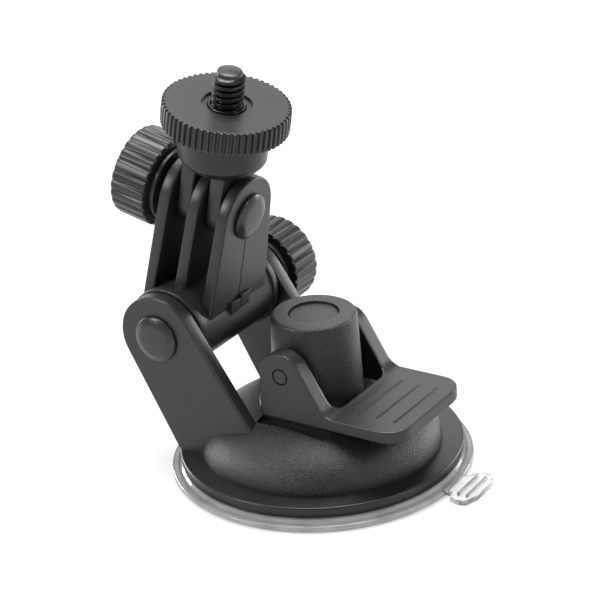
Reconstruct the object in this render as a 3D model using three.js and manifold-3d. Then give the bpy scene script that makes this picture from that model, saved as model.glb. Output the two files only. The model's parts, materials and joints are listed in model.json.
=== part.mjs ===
// Suction mount for a dash camera: a lever-locked suction cup, a forked base,
// a swinging link, a tilting head and a 1/4"-20 camera screw with a thumb wheel.
// Millimetres, +Z up. The origin is on the cup's axis, at the surface it stands on.
// -Y is the side of the lower bolt's head, +X the side of the lever's pad.
import * as THREE from 'three';
import { mergeVertices } from 'three/addons/utils/BufferGeometryUtils.js';
import Module from 'manifold-3d';

const wasm = await Module();
wasm.setup();

// ---------------------------------------------------------------- driving sizes
const rad = THREE.MathUtils.degToRad;
const gap = 0.3; // between pieces that touch, turn or slide on each other

const ring = { radius: 28.65, inner: 24.3, bottom: 2.2, top: 4.5, wall: 1.6, draft: 0.2 };
const dome = { rise: 10, fullness: 2.8, wall: 2, shoulder: 7.4 };
const crown = { z: 14.5, width: 2.4, thick: 3.6 }; // the flat collar that the lever's lobes bear on
const post = {
  foot: 9.1, draft: 0.5, taperFrom: 1.5, stand: 0.45, plug: 5.05, plugDepth: 0.5, web: 3.6, edge: 0.9,
};
const lobe = { heel: 9.4, travel: 3, swing: 90, wall: 1.6 };
const lever = {
  aboveBore: 8.5, cheek: 2, eye: 4.8, lean: 30.5, fillet: 3.8, corner: 1.2, back: 5.1,
  padEnd: 26.4, padThick: 2.5, padCorner: 5, windowCorner: 2.5, windowSide: 0.5, windowEnd: 1.3,
  ribs: 3, ribPitch: 3.95, ribFrom: 14.7, ribHalf: 8.3, ribWide: 0.7, ribHigh: 0.25,
};
const pin = { radius: 1.4 };
const fork = {
  clear: 0.55, thick: 3.15, eye: 8.63, x: -26.4, z: 28.7, frontLean: 33.1, rearLean: 28.3, foot: 3, edge: 0.3,
};
const bolt = { radius: 2.5, head: 2.3, headHigh: 1.35, nutWall: 1.5, nutHigh: 4 };
const washer = { width: 3.1, thick: 1.2 };
const knob = {
  radius: 9.45, length: 8.3, flutes: 26, flute: 0.45, hub: 7.7, hubHigh: 1.3, shell: 2, edge: 0.6,
};
const link = {
  lean: 12.4, length: 24.2, barrel: 8.5, flange: 9, flangeWide: 1.6, fin: 2.5, pitch: 6.9, offset: -0.7,
  eye: 8.1, footHalf: 10.2, edge: 0.35,
};
const head = {
  turn: 2.2, ear: 3.2, earRadius: 5.8, boss: 5, bowl: 8.9, bowlFrom: 9.4, bowlEdge: 1.8, bowlTop: 17.4,
};
const wheel = { radius: 12.75, thick: 4.85, teeth: 60, tooth: 0.45, recess: 1.2, recessDeep: 0.6, edge: 0.5 };
const insert = { wall: 0.425, inset: 0.2 };
const screw = { radius: 3.175, pitch: 1.27, depth: 0.75, reach: 7.1, across: 11.1, headHigh: 4, taper: 0.45 };
const cup = {
  lip: 1.85, lipHigh: 1.4, seat: 6, wall: 1.5, roof: 3.4, collar: 0.9, collarHigh: 0.8,
  tabReach: 6.4, tabWide: 12.4, neckWide: 7, tabThick: 1.2, tabTurn: 1.5, tabHead: 3.6, rib: 0.5,
};
const anchor = { margin: 1.55, thick: 1.2, bossWall: 1.6, bossHigh: 3.2, lipOver: 0.9, floor: 0.5 };
const stud = { radius: 1.9, head: 3.6, headHigh: 2.2 };
const spring = { wire: 1.1, clear: 0.35, turns: 1.75 };

// --------------------------------------------------------------- places from them
const domeTop = ring.top + dome.rise;
const ceiling = crown.z - crown.thick;
const earInner = post.foot + lever.windowSide;
const windowEnd = post.foot + lever.windowEnd;
const lobeOuter = earInner + lobe.wall;
const leverHalf = lobeOuter + lever.cheek;
const forkInner = leverHalf + fork.clear;
const forkOuter = forkInner + fork.thick;
const pinZ = crown.z + gap + lobe.heel;
const postTop = pinZ + lever.aboveBore;
const crownRadius = earInner + crown.width;
const holeRadius = post.foot + gap;
const cupRadius = ring.radius + cup.lip;
const washerStart = gap / 2;
const hubStart = washerStart + washer.thick + gap / 2;
const knobStart = hubStart + knob.hubHigh;
const knobEnd = knobStart + knob.length;
const finCentre = (index) => link.offset + index * link.pitch;
const earCentre = (side) => link.offset + (side * link.pitch) / 2;
const finFront = finCentre(1) + link.fin / 2;
const finRear = finCentre(-1) - link.fin / 2;
const wheelBottom = head.bowlTop + gap;
const wheelTop = wheelBottom + wheel.thick;
const anchorBottom = cup.roof + cup.wall + gap / 2;
const anchorTop = anchorBottom + anchor.thick;
const anchorBoss = stud.radius + gap + anchor.bossWall;
const springOuter = post.foot + spring.clear + spring.wire;
const anchorRadius = springOuter + anchor.margin + anchor.lipOver;
const collarRadius = anchorRadius + cup.collar;
const postBottom = anchorTop + post.stand;
const postTaperZ = crown.z + post.taperFrom;
const webTop = postBottom + anchor.bossHigh + post.web;
const squareHalf = bolt.radius;
const boltHead = bolt.radius + bolt.head;
const nutAcross = 2 * (bolt.radius + bolt.nutWall);
const insertRadius = screw.radius + gap / 2 + insert.wall;

// -------------------------------------------------------------------- materials
const colours = {
  blackPlastic: [0x2b2c2e, 0.5, 0],
  knobPlastic: [0x262729, 0.55, 0],
  clearPlastic: [0xdfe3e4, 0.12, 0],
  blackSteel: [0x3b3c3e, 0.35, 0.9],
  brightSteel: [0xb9bbbd, 0.3, 1],
};

function material(name) {
  const [color, roughness, metalness] = colours[name];
  return new THREE.MeshStandardMaterial({ name, color, roughness, metalness });
}

// ------------------------------------------------------------- solids from shapes
// A closed geometry becomes a solid: vertices merged, flat triangles dropped, faces turned outward.
function solid(geometry) {
  const bare = geometry.clone();
  bare.deleteAttribute('normal');
  bare.deleteAttribute('uv');
  const merged = mergeVertices(bare.index ? bare.toNonIndexed() : bare, 1e-4);
  const points = merged.attributes.position.array;
  const corner = (i) => new THREE.Vector3().fromArray(points, 3 * i);
  const kept = [];
  let volume = 0;
  for (let i = 0; i < merged.index.count; i += 3) {
    const [a, b, c] = [0, 1, 2].map((k) => merged.index.getX(i + k));
    if (a === b || b === c || c === a) continue;
    kept.push(a, b, c);
    volume += corner(a).dot(corner(b).cross(corner(c)));
  }
  if (volume < 0) kept.reverse();
  const mesh = new wasm.Mesh({
    numProp: 3,
    vertProperties: new Float32Array(points),
    triVerts: new Uint32Array(kept),
  });
  return new wasm.Manifold(mesh);
}

function join(first, ...others) {
  return others.reduce((whole, other) => whole.add(other), first);
}

function cut(first, ...others) {
  return others.reduce((whole, other) => whole.subtract(other), first);
}

// A named mesh from a solid, in its group.
function place(group, name, body, look) {
  const mesh = body.getMesh();
  const geometry = new THREE.BufferGeometry();
  geometry.setAttribute('position', new THREE.BufferAttribute(new Float32Array(mesh.vertProperties), 3));
  geometry.setIndex(new THREE.BufferAttribute(new Uint32Array(mesh.triVerts), 1));
  const piece = new THREE.Mesh(geometry, material(look));
  piece.name = name;
  group.add(piece);
  return piece;
}

// An outline of [a, b] points, or a circle, as a Shape.
function outline(points) {
  return new THREE.Shape(points.map(([a, b]) => new THREE.Vector2(a, b)));
}

function arc(a, b, radius, fromDeg, toDeg, steps) {
  const points = [];
  for (let i = 0; i <= steps; i += 1) {
    const t = rad(fromDeg + ((toDeg - fromDeg) * i) / steps);
    points.push([a + radius * Math.cos(t), b + radius * Math.sin(t)]);
  }
  return points;
}

const circle = (a, b, radius, steps = 32) => outline(arc(a, b, radius, 0, 360, steps).slice(0, -1));

function box(a, b, halfA, halfB) {
  return outline([
    [a - halfA, b - halfB], [a + halfA, b - halfB], [a + halfA, b + halfB], [a - halfA, b + halfB],
  ]);
}

// Extrudes an outline from one height to another along an axis, with chamfered edges if asked.
// Along x the outline is (y, z), along y it is (x, z), along z it is (x, y).
function extrude(shape, axis, from, to, edge = 0) {
  const low = Math.min(from, to);
  const length = Math.abs(to - from);
  const geometry = new THREE.ExtrudeGeometry(shape, {
    depth: length - 2 * edge,
    bevelEnabled: edge > 0,
    bevelThickness: edge,
    bevelSize: edge,
    bevelOffset: -edge,
    bevelSegments: 1,
    curveSegments: 8,
  });
  geometry.translate(0, 0, edge);
  const turn = new THREE.Matrix4();
  if (axis === 'x') {
    turn.makeBasis(new THREE.Vector3(0, 1, 0), new THREE.Vector3(0, 0, 1), new THREE.Vector3(1, 0, 0));
    geometry.applyMatrix4(turn).translate(low, 0, 0);
  } else if (axis === 'y') {
    turn.makeBasis(new THREE.Vector3(1, 0, 0), new THREE.Vector3(0, 0, 1), new THREE.Vector3(0, -1, 0));
    geometry.applyMatrix4(turn).translate(0, low + length, 0);
  } else {
    geometry.translate(0, 0, low);
  }
  return solid(geometry);
}

// Turns a profile of [radius, height] points about an axis through the origin.
function revolve(points, axis = 'z', steps = 48) {
  const profile = points.map(([r, h]) => new THREE.Vector2(r, h));
  const geometry = new THREE.LatheGeometry(profile, steps);
  geometry.rotateX(Math.PI / 2);
  if (axis === 'x') geometry.rotateY(Math.PI / 2);
  if (axis === 'y') geometry.rotateX(-Math.PI / 2);
  return solid(geometry);
}

// A round bar between two heights on an axis.
function bar(axis, radius, from, to, steps = 24) {
  return revolve([[0, from], [radius, from], [radius, to], [0, to]], axis, steps);
}

// The outline of a round body with rounded teeth or flutes: a cosine wave on a circle.
function fluted(radius, depth, count, perFlute) {
  const points = [];
  for (let i = 0; i < count * perFlute; i += 1) {
    const t = (2 * Math.PI * i) / (count * perFlute);
    const r = radius - depth * (0.5 - 0.5 * Math.cos(count * t));
    points.push([r * Math.cos(t), r * Math.sin(t)]);
  }
  return outline(points);
}

function hexagon(across) {
  return outline(arc(0, 0, across / Math.sqrt(3), 30, 390, 6).slice(0, -1));
}

// ------------------------------------------------------------------ suction cup
function suctionCup(group) {
  const seatIn = cupRadius - cup.seat;
  const recess = anchorRadius + gap;
  const roofEdge = anchorRadius + 1;
  const lipTop = anchorTop + gap + cup.collarHigh;
  const lipInner = anchorRadius - anchor.lipOver;
  const body = revolve([
    [0, cup.roof], [roofEdge - 4, cup.roof], [roofEdge, cup.roof - 0.3],
    [(roofEdge + seatIn) / 2, cup.roof / 2], [seatIn - 2, 0.35], [seatIn, 0],
    [cupRadius - 0.7, 0], [cupRadius, 0.5], [cupRadius, cup.lipHigh - 0.4], [cupRadius - 0.5, cup.lipHigh],
    [ring.radius - ring.wall, ring.bottom - gap], [ring.inner, ring.bottom - 0.1],
    [ring.inner - dome.wall - 2.8, cup.roof + 0.2],
    [collarRadius + 1.2, anchorTop - 0.85], [collarRadius, lipTop], [lipInner, lipTop],
    [lipInner, anchorTop + gap / 2], [recess, anchorTop + gap / 2], [recess, cup.roof + cup.wall],
    [0, cup.roof + cup.wall],
  ], 'z', 48);
  const reach = cupRadius + cup.tabReach;
  const neck = cupRadius - 1.5;
  const headFrom = reach - cup.tabHead;
  const half = cup.tabWide / 2;
  const tab = extrude(outline([
    [neck, -cup.neckWide / 2], [headFrom - 0.8, -cup.neckWide / 2],
    [headFrom, -half + 0.8], [headFrom + 1, -half],
    ...arc(reach - 1.2, -half + 1.6, 1.2, -60, 0, 3), ...arc(reach - 1.2, half - 1.6, 1.2, 0, 60, 3),
    [headFrom + 1, half], [headFrom, half - 0.8], [headFrom - 0.8, cup.neckWide / 2], [neck, cup.neckWide / 2],
  ]), 'z', gap, gap + cup.tabThick);
  const ribs = [0.9, 2.5].map((inset) => {
    const at = reach - inset - cup.rib;
    const top = gap + cup.tabThick + cup.rib;
    return extrude(box(at, 0, cup.rib / 2, half - 2), 'z', gap + cup.tabThick / 2, top);
  });
  const turned = join(tab, ...ribs).rotate([0, 0, cup.tabTurn]);
  place(group, 'suction_cup', join(body, turned), 'clearPlastic');
}

// The stiff disc held under the cup's collar, with the boss that the stem screw enters.
function cupAnchor(group) {
  const bossTop = anchorTop + anchor.bossHigh;
  const body = revolve([
    [0, anchorBottom], [anchorRadius, anchorBottom], [anchorRadius, anchorTop], [anchorBoss, anchorTop],
    [anchorBoss, bossTop], [stud.radius + gap, bossTop], [stud.radius + gap, anchorBottom + anchor.floor],
    [0, anchorBottom + anchor.floor],
  ], 'z', 40);
  place(group, 'cup_anchor', body, 'blackPlastic');
}

// --------------------------------------------------------------- stem and its fixings
function stemPost(group) {
  const top = post.foot - post.draft;
  const outer = revolve([
    [0, postBottom], [post.foot, postBottom], [post.foot, postTaperZ], [top, postTop - post.edge],
    [top - post.edge * 0.3, postTop - post.edge * 0.3], [top - post.edge, postTop], [0, postTop],
  ], 'z', 40);
  const bore = post.plug - 0.6;
  const inside = revolve([
    [0, webTop], [bore, webTop], [bore, postTop - post.plugDepth - 2],
    [post.plug, postTop - post.plugDepth - 2],
    [post.plug, postTop + 1], [0, postTop + 1],
  ], 'z', 32);
  const screwHole = bar('z', stud.radius + gap, postBottom - 1, webTop + 1, 20);
  const bossSeat = bar('z', anchorBoss + gap, postBottom - 1, anchorTop + anchor.bossHigh + gap, 24);
  const pinHole = bar('y', pin.radius + gap, -post.foot - 1, post.foot + 1, 20).translate([0, 0, pinZ]);
  place(group, 'stem_post', cut(outer, inside, screwHole, bossSeat, pinHole), 'blackPlastic');
}

function stemScrew(group) {
  const under = webTop + gap;
  const tip = anchorBottom + anchor.floor + gap;
  const body = revolve([
    [0, tip], [stud.radius, tip], [stud.radius, under], [stud.head, under],
    [stud.head, under + stud.headHigh * 0.6], [stud.head * 0.7, under + stud.headHigh],
    [0, under + stud.headHigh],
  ], 'z', 20);
  const slotFrom = under + stud.headHigh * 0.5;
  const slot = extrude(box(0, 0, stud.head + 1, 0.4), 'z', slotFrom, under + stud.headHigh + 1);
  place(group, 'stem_screw', cut(body, slot), 'brightSteel');
}

function postPlug(group) {
  const top = postTop - post.plugDepth;
  place(group, 'post_plug', bar('z', post.plug - gap / 2, top - 2 + gap / 2, top, 32), 'blackPlastic');
}

// The return spring between the housing's ceiling and the anchor disc.
function returnSpring(group) {
  const radius = springOuter - spring.wire / 2;
  const low = anchorTop + gap + spring.wire / 2;
  const high = ceiling - gap - spring.wire / 2;
  const points = [];
  const steps = Math.round(spring.turns * 16);
  for (let i = 0; i <= steps; i += 1) {
    const t = i / steps;
    const angle = 2 * Math.PI * spring.turns * t;
    points.push(new THREE.Vector3(radius * Math.cos(angle), radius * Math.sin(angle), low + (high - low) * t));
  }
  const path = new THREE.CatmullRomCurve3(points);
  const section = circle(0, 0, spring.wire / 2, 6);
  const geometry = new THREE.ExtrudeGeometry(section, { steps, extrudePath: path, bevelEnabled: false });
  place(group, 'return_spring', solid(geometry), 'brightSteel');
}

// -------------------------------------------------------------------- base housing
const domeHeight = (r) => ring.top + dome.rise * Math.sqrt(1 - (r / ring.inner) ** dome.fullness);

function domeProfile(outerSteps) {
  const points = [];
  for (let i = 0; i <= outerSteps; i += 1) {
    const r = ring.inner * Math.sin(((Math.PI / 2) * (outerSteps - i)) / outerSteps);
    points.push([r, domeHeight(r)]);
  }
  return points;
}

// One fork arm in the XZ plane: a round eye, and two edges that lean down to the foot.
function forkOutline() {
  const front = rad(fork.frontLean);
  const rear = rad(fork.rearLean);
  const frontTop = [fork.x + fork.eye * Math.cos(front), fork.z + fork.eye * Math.sin(front)];
  const rearTop = [fork.x - fork.eye * Math.cos(rear), fork.z - fork.eye * Math.sin(rear)];
  const down = (point, lean) => [point[0] + (point[1] - fork.foot) * Math.tan(lean), fork.foot];
  const eye = arc(fork.x, fork.z, fork.eye, fork.frontLean, 180 + fork.rearLean, 14);
  const landing = domeHeight(forkOuter) - 1 - fork.foot;
  const frontFoot = down(frontTop, front);
  const frontAtDome = [frontFoot[0] - landing * Math.tan(front), fork.foot + landing];
  return outline([...eye, down(rearTop, rear), [frontAtDome[0], fork.foot], frontAtDome]);
}

function baseHousing(group) {
  const side = ring.radius - ring.draft;
  const outer = revolve([
    [0, ring.bottom], [side, ring.bottom], [ring.radius, ring.top - 0.4], [ring.radius - 0.4, ring.top],
    ...domeProfile(8),
  ], 'z', 48);
  const collar = bar('z', crownRadius, ring.top, crown.z, 40);
  const arms = [-1, 1].map((s) => extrude(forkOutline(), 'y', s * forkInner, s * forkOuter, fork.edge));
  const inner = ring.radius - ring.wall;
  const step = ring.bottom + 1;
  const hollow = revolve([
    [0, ring.bottom - 1], [inner, ring.bottom - 1], [inner, step], [ring.inner - dome.wall, step],
    [ring.inner - dome.wall, ring.top],
    [ring.inner - (dome.shoulder + dome.wall) / 2, (ring.top + ceiling) / 2],
    [ring.inner - dome.shoulder, ceiling], [0, ceiling],
  ], 'z', 48);
  const postHole = bar('z', holeRadius, 0, domeTop + 4, 40);
  const farUp = bar('z', crownRadius, crown.z, domeTop + 4, 40);
  const pocketFloor = pinZ - cheekReach() - gap;
  const pocketHalf = lobe.heel + gap;
  const pockets = [-1, 1].map((s) => extrude(
    outline([
      [-lever.back - 1, pocketFloor], [pocketHalf, pocketFloor],
      [pocketHalf, domeTop + 1], [-lever.back - 1, domeTop + 1],
    ]),
    'y', s * (lobeOuter - gap), s * (leverHalf + gap),
  ));
  const squareHole = squareHalf + gap / 2;
  const bores = [-1, 1].map((s) => (s < 0
    ? extrude(box(fork.x, fork.z, squareHole, squareHole), 'y', -forkOuter - 1, -forkInner + 1)
    : bar('y', bolt.radius + gap, forkInner - 1, forkOuter + 1, 24).translate([fork.x, 0, fork.z])));
  const body = cut(join(outer, collar, ...arms), hollow, postHole, farUp, ...pockets, ...bores);
  place(group, 'base_housing', body, 'blackPlastic');
}

// ------------------------------------------------------------------------- lever
// The deepest that the cheeks' rounded rear corner reaches below the pin while the pin comes down.
function cheekReach() {
  const fallPerRad = lobe.travel / rad(lobe.swing);
  let deepest = 0;
  for (let i = 0; i <= 90; i += 1) {
    const t = rad((lobe.swing * i) / 90);
    const across = (lever.back - lever.corner) * Math.sin(t);
    const along = (lobe.heel - lever.corner) * Math.cos(t);
    deepest = Math.max(deepest, lever.corner + across + along + fallPerRad * t);
  }
  return deepest;
}

// The lobe's edge is where a flat landing touches it at each angle: its distance from the pin falls
// evenly with the angle, so the stem drops in proportion as the pad is lifted.
function lobeOutline() {
  const fallPerRad = lobe.travel / rad(lobe.swing);
  const points = [[lobe.heel * 0.5, pinZ - lobe.heel]];
  for (let i = 0; i <= 12; i += 1) {
    const t = rad((lobe.swing * i) / 12);
    const far = lobe.heel - fallPerRad * t;
    const x = -far * Math.sin(t) + fallPerRad * Math.cos(t);
    const z = -far * Math.cos(t) - fallPerRad * Math.sin(t);
    points.push([x, pinZ + z]);
  }
  const eye = arc(0, pinZ, lever.eye, 150, 0, 8);
  return outline([...points, ...eye]);
}

// The side view of the lever: round eye, square rear corner, flat heel, pad, and a front edge
// that leans from the eye to the pad and ends in a fillet.
function cheekOutline() {
  const bottom = pinZ - lobe.heel;
  const padTop = bottom + lever.padThick;
  const lean = rad(lever.lean);
  const rear = arc(-lever.back + lever.corner, bottom + lever.corner, lever.corner, 180, 270, 4);
  const eye = arc(0, pinZ, lever.eye, lever.lean, 180, 10);
  const fall = pinZ + lever.eye * Math.sin(lean) - padTop;
  const footX = lever.eye * Math.cos(lean) + fall * Math.tan(lean);
  const run = lever.fillet * Math.tan((Math.PI / 2 - lean) / 2);
  const fillet = arc(footX + run, padTop + lever.fillet, lever.fillet, 270, 180 + lever.lean, 5);
  return outline([...eye, ...rear, [lever.padEnd, bottom], [lever.padEnd, padTop], ...fillet]);
}

function leverBody(group) {
  const bottom = pinZ - lobe.heel;
  const padTop = bottom + lever.padThick;
  const slab = extrude(cheekOutline(), 'y', -leverHalf, leverHalf, 0.4);
  const plan = extrude(outline([
    [-lever.back - 3, -leverHalf - 1], [lever.padEnd - lever.padCorner - 6, -leverHalf - 1],
    [lever.padEnd - lever.padCorner - 6, -leverHalf],
    ...arc(lever.padEnd - lever.padCorner, -leverHalf + lever.padCorner, lever.padCorner, -90, 0, 6),
    ...arc(lever.padEnd - lever.padCorner, leverHalf - lever.padCorner, lever.padCorner, 0, 90, 6),
    [lever.padEnd - lever.padCorner - 6, leverHalf], [lever.padEnd - lever.padCorner - 6, leverHalf + 1],
    [-lever.back - 3, leverHalf + 1],
  ]), 'z', bottom - 1, pinZ + lever.eye + 1);
  const corner = lever.windowCorner;
  const window = extrude(outline([
    [-lever.back - 4, -earInner],
    ...arc(windowEnd - corner, -earInner + corner, corner, -90, 0, 4),
    ...arc(windowEnd - corner, earInner - corner, corner, 0, 90, 4),
    [-lever.back - 4, earInner],
  ]), 'z', bottom - 1, pinZ + lever.eye + 1);
  const heelCorner = extrude(
    outline([[-lever.back - 1, bottom - 1], [0, bottom - 1], [0, pinZ], [-lever.back - 1, pinZ]]),
    'y', -lobeOuter, lobeOuter,
  );
  const lobes = [-1, 1].map((s) => extrude(lobeOutline(), 'y', s * earInner, s * (lobeOuter + 0.1)));
  const ribs = [];
  for (let i = 0; i < lever.ribs; i += 1) {
    const x = lever.ribFrom + i * lever.ribPitch;
    ribs.push(extrude(box(x, 0, lever.ribWide / 2, lever.ribHalf), 'z', padTop - 0.5, padTop + lever.ribHigh));
  }
  const bore = bar('y', pin.radius + gap / 2, -leverHalf - 1, leverHalf + 1, 20).translate([0, 0, pinZ]);
  const body = cut(join(cut(slab.intersect(plan), window, heelCorner), ...lobes, ...ribs), bore);
  place(group, 'lever', body, 'blackPlastic');
}

function leverPin(group) {
  const body = bar('y', pin.radius, -leverHalf + 0.2, leverHalf - 0.2, 20).translate([0, 0, pinZ]);
  place(group, 'lever_pin', body, 'blackSteel');
}

// --------------------------------------------------- bolts, washers, nuts and knobs
// They lie along +Z from the outer face of the clamped stack, and are turned into place by their group.
function boltBody(stack, squareLength) {
  const under = -stack - gap / 2;
  const tip = knobEnd - knob.shell - gap;
  const domed = revolve([
    [0, under - bolt.headHigh], [boltHead * 0.62, under - bolt.headHigh * 0.86],
    [boltHead - 0.3, under - 0.55], [boltHead, under - 0.25], [boltHead, under], [bolt.radius, under], [bolt.radius, tip - 0.6],
    [bolt.radius - 0.6, tip], [0, tip],
  ], 'z', 24);
  const square = extrude(box(0, 0, squareHalf, squareHalf), 'z', under - 0.1, under + squareLength);
  return join(domed, square);
}

function washerBody() {
  const inner = bolt.radius + gap;
  const outer = bolt.radius + washer.width;
  const top = washerStart + washer.thick;
  return revolve([
    [inner, washerStart], [outer, washerStart], [outer, top], [inner, top], [inner, washerStart],
  ], 'z', 24);
}

function nutBody() {
  const from = hubStart + gap;
  const hexa = extrude(hexagon(nutAcross), 'z', from, from + bolt.nutHigh);
  return cut(hexa, bar('z', bolt.radius + gap / 2, from - 1, from + bolt.nutHigh + 1, 24));
}

function knobBody() {
  const shell = extrude(fluted(knob.radius, knob.flute, knob.flutes, 3), 'z', knobStart, knobEnd, knob.edge);
  const hub = bar('z', knob.hub, hubStart, knobStart + 1, 32);
  const pocket = extrude(hexagon(nutAcross + gap), 'z', hubStart - 1, hubStart + gap + bolt.nutHigh + gap);
  const bore = bar('z', bolt.radius + gap, hubStart, knobEnd - knob.shell, 24);
  return cut(join(shell, hub), pocket, bore);
}

function clampHardware(group, prefix, stack, squareLength) {
  place(group, `${prefix}_bolt`, boltBody(stack, squareLength), 'blackSteel');
  place(group, `${prefix}_washer`, washerBody(), 'blackSteel');
  place(group, `${prefix}_nut`, nutBody(), 'brightSteel');
  place(group, `${prefix}_knob`, knobBody(), 'knobPlastic');
}

// -------------------------------------------------------------------------- link
// Drawn about the lower pivot: x is across the fins, y along the lower bolt, z up to the upper bolt.
function linkBody(group) {
  const half = forkInner - gap;
  const barrel = bar('y', link.barrel, -half, half, 32);
  const flanges = [-1, 1].map((s) => bar('y', link.flange, s * (half - link.flangeWide), s * half, 32));
  const fins = [-1, 0, 1].map((index) => {
    const at = finCentre(index);
    const eye = arc(0, link.length, link.eye, 8, 172, 12);
    const foot = link.barrel * 0.25;
    const shape = outline([[-link.footHalf, foot], [link.footHalf, foot], ...eye]);
    return extrude(shape, 'x', at - link.fin / 2, at + link.fin / 2, link.edge);
  });
  const lower = bar('y', bolt.radius + gap, -half - 1, half + 1, 24);
  const through = bar('x', bolt.radius + gap, finRear - 1, finFront + 1, 24).translate([0, 0, link.length]);
  const side = squareHalf + gap / 2;
  const square = extrude(box(0, link.length, side, side), 'x', finFront - link.fin - 0.5, finFront + 1);
  place(group, 'link', cut(join(barrel, ...flanges, ...fins), lower, through, square), 'blackPlastic');
}

// -------------------------------------------------------------------------- head
// Drawn about the upper pivot, with z along the camera screw.
function cameraHolder(group) {
  const ears = [-1, 1].map((s) => {
    const at = earCentre(s);
    const neck = head.bowlFrom + 1;
    const shape = outline([
      ...arc(0, 0, head.earRadius, 180, 360, 16), [head.earRadius - 0.4, neck], [-head.earRadius + 0.4, neck],
    ]);
    const plate = extrude(shape, 'x', at - head.ear / 2, at + head.ear / 2, 0.3);
    const bossHalf = (link.pitch - link.fin) / 2 - gap;
    return join(plate, bar('x', head.boss, at - bossHalf, at + bossHalf, 20));
  });
  const bowl = revolve([
    [0, head.bowlFrom], [head.bowl - head.bowlEdge, head.bowlFrom],
    [head.bowl - 0.5, head.bowlFrom + head.bowlEdge * 0.6],
    [head.bowl, head.bowlFrom + head.bowlEdge * 1.4], [head.bowl, head.bowlTop], [0, head.bowlTop],
  ], 'z', 40);
  const through = bar('x', bolt.radius + gap, finRear, finFront, 24);
  const seatDepth = head.bowlTop - screw.headHigh - 2 * gap;
  const hexSeat = extrude(hexagon(screw.across + gap), 'z', seatDepth, head.bowlTop + 1);
  place(group, 'camera_holder', cut(join(bowl, ...ears), through, hexSeat), 'blackPlastic');
}

// The 1/4"-20 screw: its hexagon head lies in the bowl and its thread is a ridge that climbs round the core.
function cameraScrew(group) {
  const headTop = head.bowlTop - gap;
  const tip = wheelTop + screw.reach;
  const core = screw.radius - screw.depth;
  const hex = extrude(hexagon(screw.across), 'z', headTop - screw.headHigh, headTop);
  const shank = revolve([
    [0, headTop - 0.5], [core, headTop - 0.5], [core, tip - screw.taper], [core - 0.2, tip - 0.1],
    [core - 0.5, tip], [0, tip],
  ], 'z', 24);
  const perTurn = 12;
  const from = wheelTop - wheel.recessDeep - 0.4;
  const turns = (tip - screw.taper - from - screw.pitch) / screw.pitch;
  const steps = Math.floor(turns * perTurn);
  const rings = [];
  for (let i = 0; i <= steps; i += 1) {
    const angle = (2 * Math.PI * i) / perTurn;
    const z = from + screw.pitch * (0.5 + i / perTurn);
    const fade = Math.min(1, i / 5, (steps - i) / 5);
    const tall = core - 0.15 + (screw.depth + 0.15) * Math.max(fade, 0.25);
    const corners = [[core - 0.3, -0.48], [tall, -0.1], [tall, 0.1], [core - 0.3, 0.48]];
    rings.push(corners.map(([r, h]) => [r * Math.cos(angle), r * Math.sin(angle), z + h * screw.pitch]));
  }
  place(group, 'camera_screw', join(hex, shank, loft(rings)), 'blackSteel');
}

// A closed skin over a row of equal rings of points, with flat ends.
function loft(rings) {
  const count = rings[0].length;
  const positions = rings.flat(2);
  const index = [];
  for (let i = 0; i < rings.length - 1; i += 1) {
    for (let k = 0; k < count; k += 1) {
      const a = i * count + k;
      const b = i * count + ((k + 1) % count);
      index.push(a, b, a + count, b, b + count, a + count);
    }
  }
  const last = (rings.length - 1) * count;
  for (let k = 1; k < count - 1; k += 1) {
    index.push(0, k + 1, k, last, last + k, last + k + 1);
  }
  const geometry = new THREE.BufferGeometry();
  geometry.setAttribute('position', new THREE.Float32BufferAttribute(positions, 3));
  geometry.setIndex(index);
  return solid(geometry);
}

function thumbWheel(group) {
  const rim = fluted(wheel.radius, wheel.tooth, wheel.teeth, 2);
  const disc = extrude(rim, 'z', wheelBottom, wheelTop, wheel.edge);
  const recess = bar('z', insertRadius + wheel.recess, wheelTop - wheel.recessDeep, wheelTop + 1, 32);
  const bore = bar('z', insertRadius + gap / 2, wheelBottom - 1, wheelTop + 1, 32);
  place(group, 'thumb_wheel', cut(disc, recess, bore), 'knobPlastic');
}

function wheelInsert(group) {
  const inner = screw.radius + gap / 2;
  const top = wheelTop - wheel.recessDeep + insert.inset;
  const low = wheelBottom + insert.inset;
  const body = revolve([
    [inner, low], [insertRadius, low], [insertRadius, top], [inner, top], [inner, low],
  ], 'z', 24);
  place(group, 'wheel_insert', body, 'blackSteel');
}

// -------------------------------------------------------------------- the assembly
const mount = new THREE.Group();

suctionCup(mount);
cupAnchor(mount);
stemPost(mount);
stemScrew(mount);
postPlug(mount);
returnSpring(mount);
baseHousing(mount);
leverBody(mount);
leverPin(mount);

const lowerClamp = new THREE.Group();
lowerClamp.position.set(fork.x, forkOuter, fork.z);
lowerClamp.rotation.x = -Math.PI / 2;
mount.add(lowerClamp);
clampHardware(lowerClamp, 'lower', 2 * forkOuter, fork.thick);

const linkGroup = new THREE.Group();
linkGroup.position.set(fork.x, 0, fork.z);
linkGroup.rotation.y = rad(link.lean);
mount.add(linkGroup);
linkBody(linkGroup);

const upperClamp = new THREE.Group();
upperClamp.position.set(finRear, 0, link.length);
upperClamp.rotation.y = -Math.PI / 2;
linkGroup.add(upperClamp);
clampHardware(upperClamp, 'upper', finFront - finRear, link.fin);

const headGroup = new THREE.Group();
headGroup.position.set(0, 0, link.length);
headGroup.rotation.x = rad(head.turn);
linkGroup.add(headGroup);
cameraHolder(headGroup);
cameraScrew(headGroup);
thumbWheel(headGroup);
wheelInsert(headGroup);

export default mount;
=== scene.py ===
"""A suction mount for a dash camera: its fine surfaces, finishes, light and camera.

Everything is drawn in millimetres and put into the meshes in metres, in the frame's own place.
"""

import json
import math

import bmesh
import bpy
import numpy as np
from mathutils import Matrix, Vector


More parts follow.
